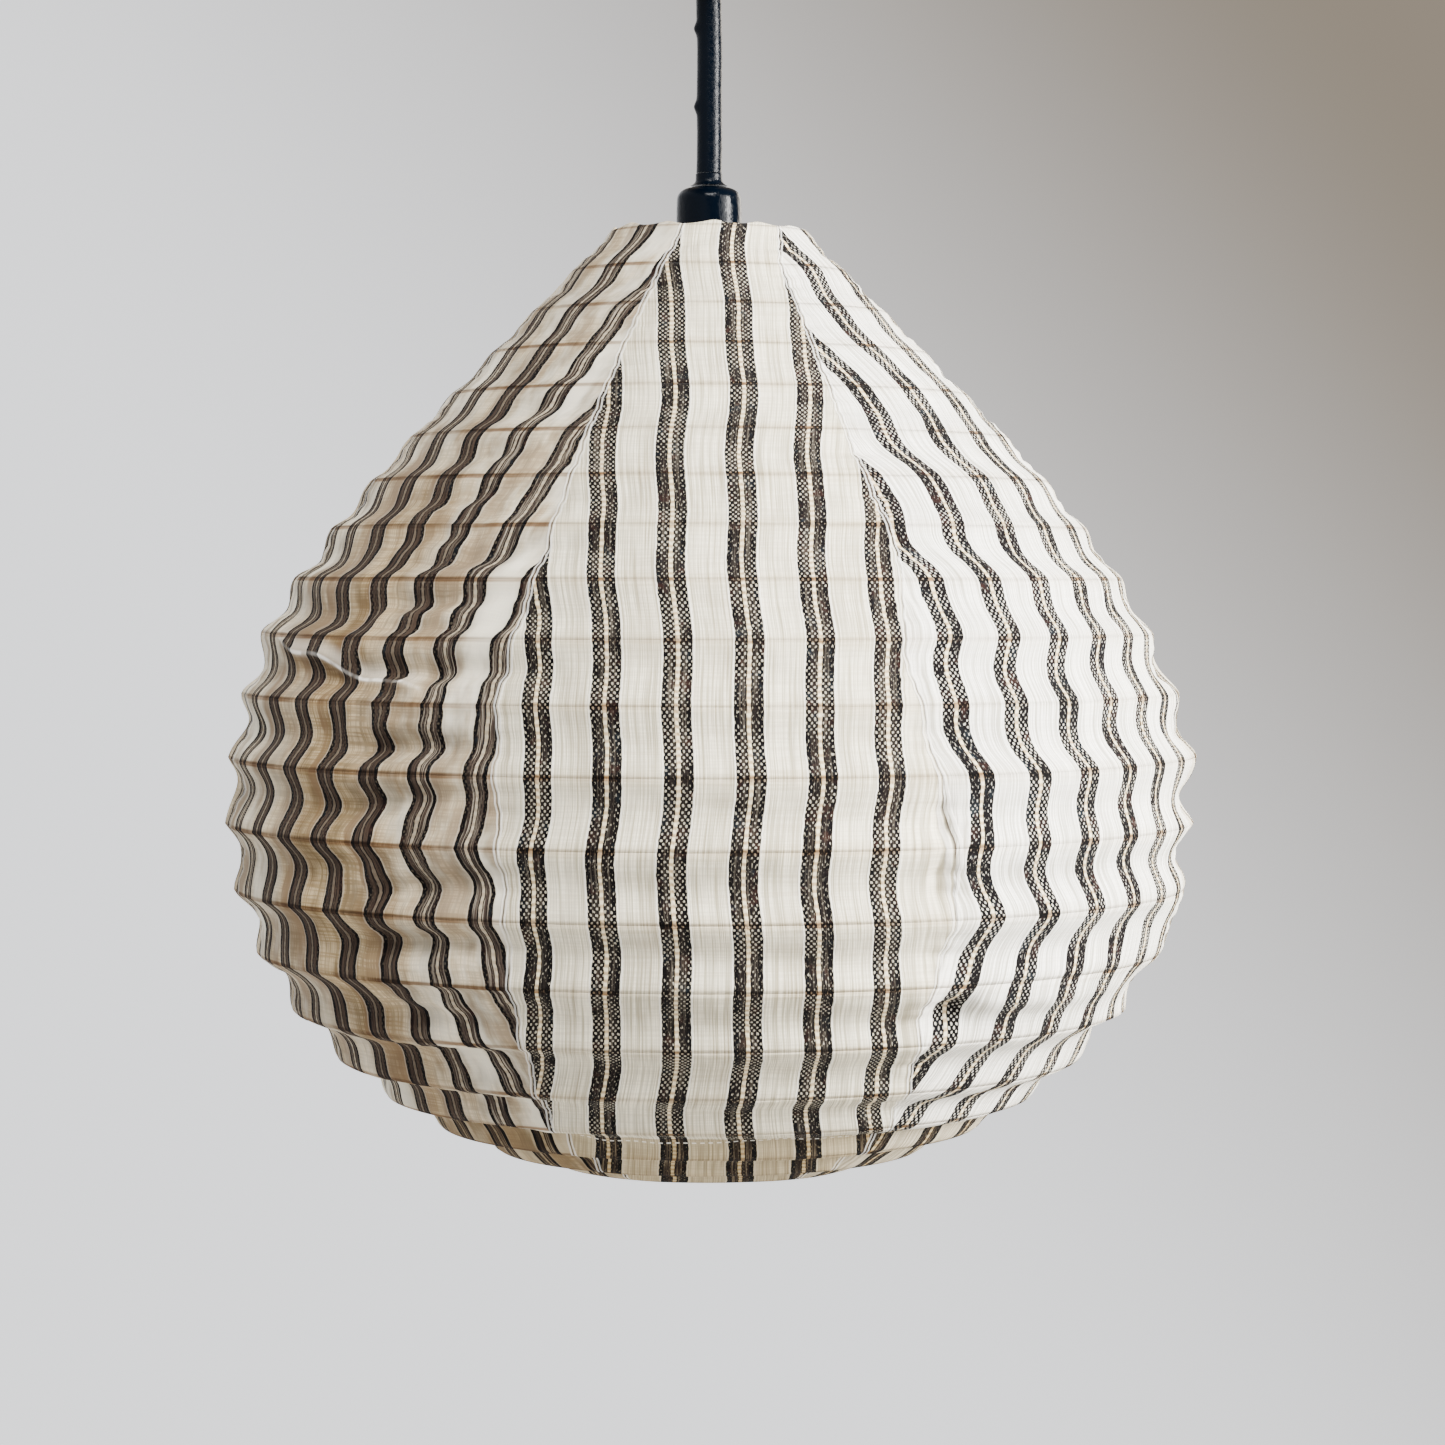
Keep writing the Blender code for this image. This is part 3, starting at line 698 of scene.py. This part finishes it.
def make_cord(paint):
    """A stiff glossy cord, a little uneven, with two nubs on its left side, and the boot below."""
    low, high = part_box("cord")
    radius = (high.x - low.x) / 2
    boot = make_boot(paint, radius)
    count, sides = 150, 40
    nubs = (SHADE_TOP + 0.0955, SHADE_TOP + 0.0594)
    path, points, rows = [], [], []
    for i in range(count + 1):
        share = i / count
        height = low.z + (high.z - low.z) * share
        sway = 0.0003 * math.sin(share * 5.0) + 0.00012 * math.sin(share * 17.0)
        path.append((sway, 0.0, height))
        rows.append(range(i * sides, (i + 1) * sides))
        for k in range(sides):
            turn = 2 * math.pi * k / sides
            spot = Vector((share * 30, math.cos(turn), math.sin(turn)))
            r = radius * (0.985 + 0.012 * noise.noise(spot) + 0.005 * noise.noise(spot * 6))
            for nub in nubs:
                far = ((height - nub) / 0.0026) ** 2 + ((turn - math.pi * 1.04) / 0.42) ** 2
                r += 0.0014 * math.exp(-far)
            points.append((sway + r * math.cos(turn), r * math.sin(turn), height))
    cord = new_mesh("pendant_cord", points, rod_faces(rows), paint)
    cord.data.set_sharp_from_angle(angle=math.radians(50))
    place_for(cord, "cord")


def make_boot(paint, radius):
    low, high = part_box("cord_boot")
    foot = 0.0086
    profile = [(0, high.z), (radius - 0.0001, high.z)]
    for step in range(13):
        share = step / 12
        profile.append((radius + 0.0002 + (foot - radius - 0.0002) * share ** 5,
                        high.z - 0.0004 + (low.z - high.z + 0.0004) * share))
    return lathe("boot", profile + [(0, low.z)], paint, "cord_boot")


# ---- fittings

def carved(depth, top, end, wall, soft, wave):
    """Grooves in a turned piece between two heights, wherever it is wider than wall."""
    def cut(radius, turn, height):
        if radius < wall or not end < height < top:
            return 0.0
        fade = min(1.0, (top - height) / soft, (height - end) / soft)
        return -depth * fade * wave(turn, height)
    return cut


def thread(pitch, depth, top, end, wall):
    return carved(depth, top, end, wall, pitch, lambda turn, height: (
        0.5 + 0.5 * math.cos(2 * math.pi * (height / pitch) + turn)) ** 1.4)


def grooves(count, depth, top, end, wall):
    """Upright grip grooves."""
    return carved(depth, top, end, wall, 0.0008,
                  lambda turn, height: (0.5 + 0.5 * math.cos(count * turn)) ** 2)


def fine_steps(profile, step=0.0004):
    """The profile with points added along its long upright runs."""
    found = [profile[0]]
    for a, b in zip(profile, profile[1:]):
        count = max(1, int(abs(b[1] - a[1]) / step))
        found += [(a[0] + (b[0] - a[0]) * k / count, a[1] + (b[1] - a[1]) * k / count)
                  for k in range(1, count + 1)]
    return found


def make_holder(black, ceramic, brass):
    low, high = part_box("holder_cap")
    wall, top, end, wide = 0.0014, high.z, low.z, high.x
    outer = [(0.0042, top), (0.0072, top - 0.0003)]
    for step in range(1, 11):
        turn = math.pi / 2 * step / 10
        outer.append((0.0080 + 0.0070 * math.sin(turn), top - 0.0006 - 0.0056 * (1 - math.cos(turn))))
    outer += [(0.0152, top - 0.0120), (0.0152, end + 0.0062), (0.0149, end + 0.0058),
              (0.0149, end + 0.0052), (0.0153, end + 0.0048), (wide, end + 0.0004),
              (wide - 0.0003, end)]
    inner = [(0.0138, end), (0.0136, top - 0.0120), (0.0128, top - 0.0058), (0.0096, top - 0.0024),
             (0.0066, top - wall), (0.0042, top - wall)]
    lathe("cap", outer + inner, black, "holder_cap", 96, closed=True)

    low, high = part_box("holder_shell")
    flange = high.z - 0.0040
    body = 0.0190
    profile = ring_profile([(0.0166, high.z), (high.x, high.z), (high.x, flange), (body, flange),
                            (body, low.z), (0.0166, low.z)], 0.0007)
    ridge = thread(0.0030, 0.0009, flange - 0.0008, low.z + 0.0030, 0.0180)
    lathe("shell", fine_steps(profile), black, "holder_shell", closed=True, dent=ridge)

    low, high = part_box("holder_insert")
    profile = rounded([(0, high.z), (high.x, high.z), (high.x, low.z + 0.002), (0.0105, low.z),
                       (0, low.z)], 0.0008)
    lathe("insert", profile, ceramic, "holder_insert")

    low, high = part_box("screw_shell")
    ridge = thread(0.0036, 0.0005, high.z, low.z, 0.0)
    profile = fine_steps([(0.0148, high.z), (0.0155, high.z), (0.0155, low.z), (0.0148, low.z)])
    lathe("socket", profile, brass, "screw_shell", closed=True, dent=ridge)
    for node in ("centre_contact", "side_contact"):
        skin(node, brass, 0.0002)


def make_bulb(nickel, black, glass):
    low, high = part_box("bulb_cap")
    wall = 0.0006
    outer = [(0.0050, high.z), (0.0104, high.z), (0.0126, high.z - 0.0022), (0.0133, high.z - 0.0042),
             (0.0133, low.z)]
    inner = [(0.0127, low.z), (0.0127, high.z - 0.0038), (0.0102, high.z - wall),
             (0.0050, high.z - wall)]
    ridge = thread(0.0036, 0.0006, high.z - 0.0030, low.z + 0.0030, 0.0130)
    lathe("cap_thread", fine_steps(outer) + inner, nickel, "bulb_cap", closed=True, dent=ridge)
    for node, paint in (("bulb_tip", nickel), ("bulb_insulator", black)):
        skin(node, paint, 0.0003)
    low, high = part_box("bulb_glass")
    wide = high.x
    middle = low.z + wide
    join = math.radians(38)
    crown = Vector((wide * math.cos(join), middle + wide * math.sin(join), 0))
    slope = Vector((math.sin(join), -math.cos(join), 0)) * 0.010
    start = Vector((0.0131, high.z - 0.0040, 0))
    neck = interpolate_bezier(start, start - Vector((0, 0.009, 0)), crown - slope, crown, 12)
    outer = [(0.0128, high.z)] + [(point.x, point.y) for point in neck]
    outer += [(wide * math.cos(turn), middle + wide * math.sin(turn))
              for turn in np.linspace(join, -math.pi / 2, 28)[1:-1]] + [(0, low.z)]
    wall = 0.0010
    inner = [(0, low.z + wall)]
    for (r, z), (r2, z2) in reversed(list(zip(outer[:-1], outer[1:]))):
        away = Vector((z2 - z, r - r2)).normalized() * wall
        inner.append((max(r + away.x, 0.0), z + away.y))
    lathe("globe", outer + inner, glass, "bulb_glass", 80, closed=True)


def make_fitting(black, coated):
    """The screwed ring, the carrier plate with its spokes, and the two stretcher legs."""
    low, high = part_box("shade_ring")
    hole = 0.0195
    profile = ring_profile([(hole, high.z), (high.x, high.z), (high.x, high.z - 0.0020),
                            (0.0232, high.z - 0.0032), (0.0232, low.z), (hole, low.z)], 0.0006)
    grip = grooves(30, 0.0008, high.z - 0.0036, low.z + 0.0006, 0.0225)
    lathe("shade_nut", fine_steps(profile), black, "shade_ring", 240, closed=True, dent=grip)

    low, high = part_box("carrier_plate")
    middle = (low.z + high.z) / 2
    profile = ring_profile([(hole, high.z), (high.x, high.z), (high.x, low.z), (hole, low.z)], 0.0006)
    lathe("carrier", profile, coated, "carrier_plate", 96, closed=True)
    wire = 0.00125
    for number, azimuth in enumerate((90, 210, 330), 1):
        out = Vector((math.cos(math.radians(azimuth)), math.sin(math.radians(azimuth)), 0))
        stops = [(0.0276, middle), (0.0315, middle), (0.0365, SHADE_TOP - 0.0010), (0.0427, SHADE_TOP)]
        route = smooth_route([out * r + Vector((0, 0, z)) for r, z in stops], 7)
        node = "spoke_%d" % number
        tube("wire_" + node, route, wire, coated, node)
    foot = HOOPS[BANDS][1]
    for side, sign in (("left", -1), ("right", 1)):
        stops = [(0.0361, middle), (0.0400, middle - 0.0045), (0.0432, middle - 0.0160),
                 (0.0450, middle - 0.0500), (0.0530, middle - 0.2200), (0.0610, foot + 0.0220),
                 (0.0632, foot + 0.0060), (0.0660, foot + 0.0030)]
        route = smooth_route([(sign * r, 0, z) for r, z in stops], 9)
        node = "leg_" + side
        tube("wire_" + node, route, wire, coated, node)
        skin("leg_lug_" + side, coated, 0.0004)
        skin("leg_pin_" + side, coated, 0.0002)
        skin("leg_eye_" + side, coated, smooth=1)


def smooth_route(stops, steps):
    """Catmull-Rom curve through the stops."""
    stops = [Vector(p) for p in stops]
    ends = [stops[0] * 2 - stops[1], *stops, stops[-1] * 2 - stops[-2]]
    route = []
    for a, b, c, d in zip(ends, ends[1:], ends[2:], ends[3:]):
        for k in range(steps):
            t = k / steps
            route.append(0.5 * (2 * b + (c - a) * t + (2 * a - 5 * b + 4 * c - d) * t * t
                                + (3 * b - a - 3 * c + d) * t ** 3))
    return route + [stops[-1]]


def make_canopy(black, steel):
    low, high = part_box("canopy_cup")
    wide, wall, fillet, hole = high.x, 0.0012, 0.0120, 0.0088
    outer = [(wide - 0.0004, high.z), (wide, high.z - 0.0004), (wide, high.z - 0.0016),
             (wide - 0.0004, high.z - 0.0020), (wide - 0.0004, high.z - 0.0026),
             (wide, high.z - 0.0030)]
    inner = [(wide - wall, high.z)]
    for step in range(13):
        turn = math.pi / 2 * step / 12
        for line, r in ((outer, fillet), (inner, fillet - wall)):
            line.append((wide - fillet + r * math.cos(turn), low.z + fillet - r * math.sin(turn)))
    outer.append((hole + 0.0003, low.z))
    inner.append((hole, low.z + wall))
    profile = outer + [(hole, low.z + 0.0003)] + inner[::-1]
    lathe("canopy", profile, black, "canopy_cup", 120, closed=True)

    low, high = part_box("canopy_grip")
    bore, floor = 0.0068, low.z + 0.0080
    profile = ring_profile([(bore, high.z), (0.0085, high.z), (0.0085, floor - 0.0003),
                            (high.x, floor - 0.0003), (high.x, floor - 0.0030), (0.0088, low.z),
                            (bore, low.z)], 0.0006)
    grip = grooves(24, 0.0006, floor - 0.0004, floor - 0.0030, 0.0118)
    lathe("grip", fine_steps(profile), black, "canopy_grip", 192, closed=True, dent=grip)

    low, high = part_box("cord_clamp")
    profile = rounded([(0, high.z), (high.x, high.z), (high.x, high.z - 0.0080), (0.0085, low.z),
                       (0, low.z)], 0.0009)
    ridge = grooves(12, 0.0008, high.z - 0.0008, high.z - 0.0080, 0.0100)
    lathe("clamp", fine_steps(profile), black, "cord_clamp", 96, dent=ridge)
    skin("ceiling_plate", steel, 0.0004)


# ---- cloth

def seam_azimuth(number, run):
    """Azimuth of a seam, in radians from -Y towards +X, at distances along the cloth."""
    number %= GORES
    nominal = TWIST + (number - 0.5) * 360 / GORES
    if number in (0, 1):
        line = (LEFT_SEAM, RIGHT_SEAM)[number]
        degrees = np.interp(run, *zip(*line))
    else:
        degrees = nominal + 0.9 * np.sin(run * 21 + number * 2.1) + 0.5 * np.sin(run * 47 + number)
    return np.radians(degrees)


def ripple(points, scale, seed):
    """Smooth noise, about -1 to 1, at each of the points."""
    offset = Vector((seed * 13.7, seed * 5.1, -seed * 9.3))
    return np.array([noise.noise(Vector(p) * scale + offset) for p in points])


def bell(value, middle, width):
    return np.exp(-((value - middle) / width) ** 2)


def cloth_piece(name, rows, material, shape):
    """A strip of cloth all round the shade.

    rows are (radius, height, run, wire gap, share) from top to bottom. shape is one of the hang
    functions: all take the same seven values, and give the radius and height of every point.
    """
    radii, heights, runs, wires, shares = (np.array(c) for c in zip(*rows))
    span = np.linspace(0, 1, COLUMNS + 1)
    span = span - COLUMN_CROWDING * np.sin(2 * np.pi * span)
    total = GORES * COLUMNS
    count = len(rows)
    azimuth = np.zeros((count, total))
    gap = np.zeros((count, total))
    dips = np.zeros((count, total))
    across = np.zeros((count, GORES, COLUMNS + 1))
    seams = np.zeros((count, GORES, COLUMNS + 1))
    for gore in range(GORES):
        start, end = seam_azimuth(gore, runs), seam_azimuth(gore + 1, runs)
        end = np.where(end < start, end + 2 * np.pi, end)
        turn = start[:, None] + (end - start)[:, None] * span[None, :]
        middle = math.radians(TWIST + gore * 360 / GORES)
        pitch, phase, wander, wave, dip = CUTS[gore]
        beat = 2 * np.pi * runs / wave + gore * 1.7
        wobble = wander * np.sin(beat + 0.8 * np.sin(beat * 0.37)) + 0.0008 * np.sin(beat * 2.3)
        if gore in DRIFT:
            wobble += DRIFT[gore][2] * bell(runs, *DRIFT[gore][:2])
        side = (turn - middle) * radii[:, None] + wobble[:, None]
        if gore in PLAIN:
            kept = np.clip(side, *PLAIN[gore])
            side = kept + (side - kept) * PLAIN_RATE
        across[:, gore] = (side - phase) / pitch
        edge = np.minimum(turn - start[:, None], end[:, None] - turn) * radii[:, None]
        # Where the right seam gapes, the seam distance shrinks and the dark seam line widens into
        # painted shade
        by_slit = bell(wrapped(turn), 26.5, 4.0) * bell(runs[:, None], *SLIT)
        seams[:, gore] = edge * (1 - 0.72 * by_slit)
        columns = slice(gore * COLUMNS, (gore + 1) * COLUMNS)
        azimuth[:, columns] = turn[:, :-1]
        gap[:, columns] = edge[:, :-1]
        before, after = CUTS[gore - 1][4], CUTS[(gore + 1) % GORES][4]
        dips[:, columns] = np.interp(span[:-1], (0, 0.15, 0.85, 1),
                                     ((before + dip) / 2, dip, dip, (dip + after) / 2))
    radius, height = shape(radii, heights, runs, shares, azimuth, gap, dips)
    points = np.stack([radius * np.sin(azimuth), -radius * np.cos(azimuth), height], axis=-1)
    faces, weave, edges, painted_light = [], [], [], []
    for row in range(count - 1):
        for gore in range(GORES):
            for c in range(COLUMNS):
                left = gore * COLUMNS + c
                right = (left + 1) % total
                faces.append([row * total + left, (row + 1) * total + left,
                              (row + 1) * total + right, row * total + right])
                for r, k in ((row, c), (row + 1, c), (row + 1, c + 1), (row, c + 1)):
                    weave += [across[r, gore, k], runs[r]]
                    edges += [seams[r, gore, k], wires[r]]
                    # Each corner carries its gore's painted light and shade
                    painted_light += GORE_PAINTED_LIGHT[gore]
    thing = new_mesh(name, points.reshape(-1, 3), faces, material)
    for key, values in (("weave", weave), ("edges", edges)):
        thing.data.uv_layers.new(name=key).data.foreach_set("uv", np.array(values, np.float32))
    tint = thing.data.color_attributes.new("painted_light", "FLOAT_COLOR", "CORNER")
    tint.data.foreach_set("color", np.array(painted_light, np.float32))
    cloth = thing.modifiers.new("cloth", "SOLIDIFY")
    cloth.thickness = CLOTH
    cloth.offset = -1.0
    return thing


def ripples(radii, heights, azimuth):
    """Broad, middling and fine noise over a strip."""
    flat = np.stack([radii[:, None] * np.sin(azimuth), -radii[:, None] * np.cos(azimuth),
                     heights[:, None] + 0 * azimuth], axis=-1).reshape(-1, 3)
    return [ripple(flat, scale, seed).reshape(azimuth.shape)
            for seed, scale in enumerate((9, 24, 75), 1)]


def wrapped(azimuth):
    return (np.degrees(azimuth) + 180) % 360 - 180


def hang_band(radii, heights, runs, shares, azimuth, gap, dips):
    """Cloth between two hoops: hollowed, rucked at the seams, and dented here and there."""
    broad, middle, fine = ripples(radii, heights, azimuth)
    along = Vector((radii[-1] - radii[0], heights[-1] - heights[0])).normalized()
    degrees, run = wrapped(azimuth), runs[:, None]
    free = np.sin(np.pi * shares)[:, None]
    skew = np.clip(1 + 0.55 * broad + 0.25 * middle, 0.65, 1.6)
    hollow = np.sin(np.pi * shares[:, None] ** skew) ** 1.75
    slack = 0.22 + 0.78 * np.clip((run - 0.13) / 0.14, 0, 1)
    push = -dips * slack * hollow * (1 + 0.45 * middle + 0.35 * broad)
    push += free * (0.0009 * fine + 0.0009 * middle)
    # Gathers that run out from the seams, more of them on the left gore
    beside = np.exp(-(gap / 0.010) ** 2)
    left_side = bell(degrees, -36, 11) * bell(run, 0.30, 0.17)
    push += free * 0.0006 * np.sin(run * 720 + 3.0 * middle) * beside
    push += free * 0.0030 * np.sin(run * 330 + degrees * 0.16 + 4 * broad) * left_side
    push += free * 0.0017 * np.sin(degrees * 1.15 + run * 70 + 3 * broad) * left_side
    # Where the cloth has bulged or been pushed in
    (start, high), (end, low) = CREASE
    height, rate = CREASE_WAVE
    side = np.radians(degrees - TWIST + 360 / GORES) * radii[:, None]
    line = high + (side - start) * (low - high) / (end - start) + height * np.sin(side * rate)
    reach = np.clip((side - start) / 0.02, 0, 1) * np.clip((end - side) / 0.012, 0, 1)
    push += CREASE_PUSH * reach * np.exp(-np.abs(run - line) / 0.0035) * np.sqrt(free)
    for out, turn, width, place, depth, held in DENTS:
        push += out * bell(degrees, turn, width) * bell(run, place, depth) * (free if held else 1)
    return radii[:, None] - along.y * push, heights[:, None] + along.x * push


def hang_top(radii, heights, runs, shares, azimuth, gap, dips):
    """The turned-over top edge: a soft uneven frill, lower where a seam crosses it."""
    broad, middle, fine = ripples(radii, heights, azimuth)
    degrees = wrapped(azimuth)
    crest = bell(shares[:, None], 0.71, 0.17)
    lobes = np.sin(degrees * 0.21 + 1.2 + 2.0 * broad)
    lift = crest * (0.0011 * lobes + 0.0010 * middle + 0.0004 * fine)
    lift -= crest * 0.0016 * np.exp(-(gap / 0.004) ** 2)
    swell = crest * (0.0012 * middle + 0.0006 * fine)
    return radii[:, None] + swell, heights[:, None] + lift


def hang_foot(radii, heights, runs, shares, azimuth, gap, dips):
    """The bottom hem: flat double cloth that waves a little along its fold."""
    broad, middle, fine = ripples(radii, heights, azimuth)
    edge = bell(shares[:, None], 0.35, 0.25)
    lift = edge * (0.0012 * middle + 0.0004 * fine + 0.0007 * np.sin(5 * azimuth + 0.8))
    swell = edge * (0.0010 * np.sin(4 * azimuth + 2 * broad) + 0.0004 * middle)
    return radii[:, None] + swell, heights[:, None] + lift


def cloth_edge(number):
    """Outer face of the cloth where it passes over a hoop."""
    radius, height = HOOPS[number]
    before, after = HOOPS[max(number - 1, 0)], HOOPS[min(number + 1, BANDS)]
    along = Vector((after[0] - before[0], after[1] - before[1])).normalized()
    return radius - along.y * FACE, height + along.x * FACE


RUNS = [0.0]
for upper, lower in zip(HOOPS, HOOPS[1:]):
    RUNS.append(RUNS[-1] + math.dist(upper, lower))


def make_bands(material):
    for number in range(BANDS):
        upper, lower = cloth_edge(number), cloth_edge(number + 1)
        length = RUNS[number + 1] - RUNS[number]
        rows = []
        for m in range(ROWS + 1):
            share = m / ROWS
            rows.append((upper[0] + (lower[0] - upper[0]) * share,
                         upper[1] + (lower[1] - upper[1]) * share,
                         RUNS[number] + length * share, min(share, 1 - share) * length, share))
        band = cloth_piece("cloth_band_%02d" % (number + 1), rows, material, hang_band)
        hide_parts(*["gore_%d" % (gore + 1) for gore in range(GORES)])
        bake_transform(band)


def make_hem(name, number, depth, rise, node, shape, material):
    """Cloth turned over an end hoop and stitched inside: down the shade at the top, up at the foot."""
    centre = Vector(HOOPS[number])
    inner = Vector(HOOPS[1] if number == 0 else HOOPS[BANDS - 1])
    along = (inner - centre).normalized()
    side = Vector((-along.y, along.x)) if number == 0 else Vector((along.y, -along.x))
    line = []
    for step in range(13):
        turn = math.pi * step / 12
        line.append(centre + side * FACE * math.cos(turn) - along * (FACE + rise) * math.sin(turn))
    for step in range(1, 10):
        share = step / 9
        line.append(centre - side * (FACE + 0.0040 * math.sin(share * 2.2)) + along * depth * share)
    gaps = [0.0]
    for a, b in zip(line, line[1:]):
        gaps.append(gaps[-1] + (b - a).length)
    sign = -1 if number == 0 else 1
    rows = [(p.x, p.y, RUNS[number] + sign * g, max(0.0040, rise), i / (len(line) - 1))
            for i, (p, g) in enumerate(zip(line, gaps))]
    if number == 0:
        rows = [(r, h, run, wire, 1 - share) for r, h, run, wire, share in reversed(rows)]
    hem = cloth_piece(name, rows, material, shape)
    place_for(hem, node)


def make_hoops(paint, sides=10):
    for number, (radius, height) in enumerate(HOOPS):
        turns = [-2 * math.pi * k / sides for k in range(sides)]
        profile = [(radius + WIRE_R * math.cos(t), height + WIRE_R * math.sin(t)) for t in turns]
        node = "ring_%02d" % number
        lathe("wire_" + node, profile, paint, node, 140, closed=True, sharp=180)


# ---- run

make_camera()
make_lights()
light_world()
make_floor()
CORD_PAINT = black_gloss("cord_jacket", 760, 0.20)
BLACK = black_gloss("black_moulding", 420, 0.12)
BRASS = metal("brass", (0.78, 0.58, 0.28), 0.28)
NICKEL = metal("nickel", (0.72, 0.70, 0.66), 0.25)
COATED = metal("coated_wire", (0.78, 0.76, 0.72), 0.38, 0.0)
CLOTH_PAINT = stripe_cloth()
make_cord(CORD_PAINT)
make_bands(CLOTH_PAINT)
make_hem("top_edge", 0, 0.0150, 0.0006, "top_hem", hang_top, CLOTH_PAINT)
make_hem("foot_edge", BANDS, 0.0120, 0.0004, "bottom_hem", hang_foot, CLOTH_PAINT)
make_hoops(COATED)
make_holder(BLACK, glazed("ceramic", (0.86, 0.85, 0.81), 0.25), BRASS)
make_bulb(NICKEL, BLACK, opal("opal_glass"))
make_fitting(BLACK, COATED)
make_canopy(BLACK, COATED)
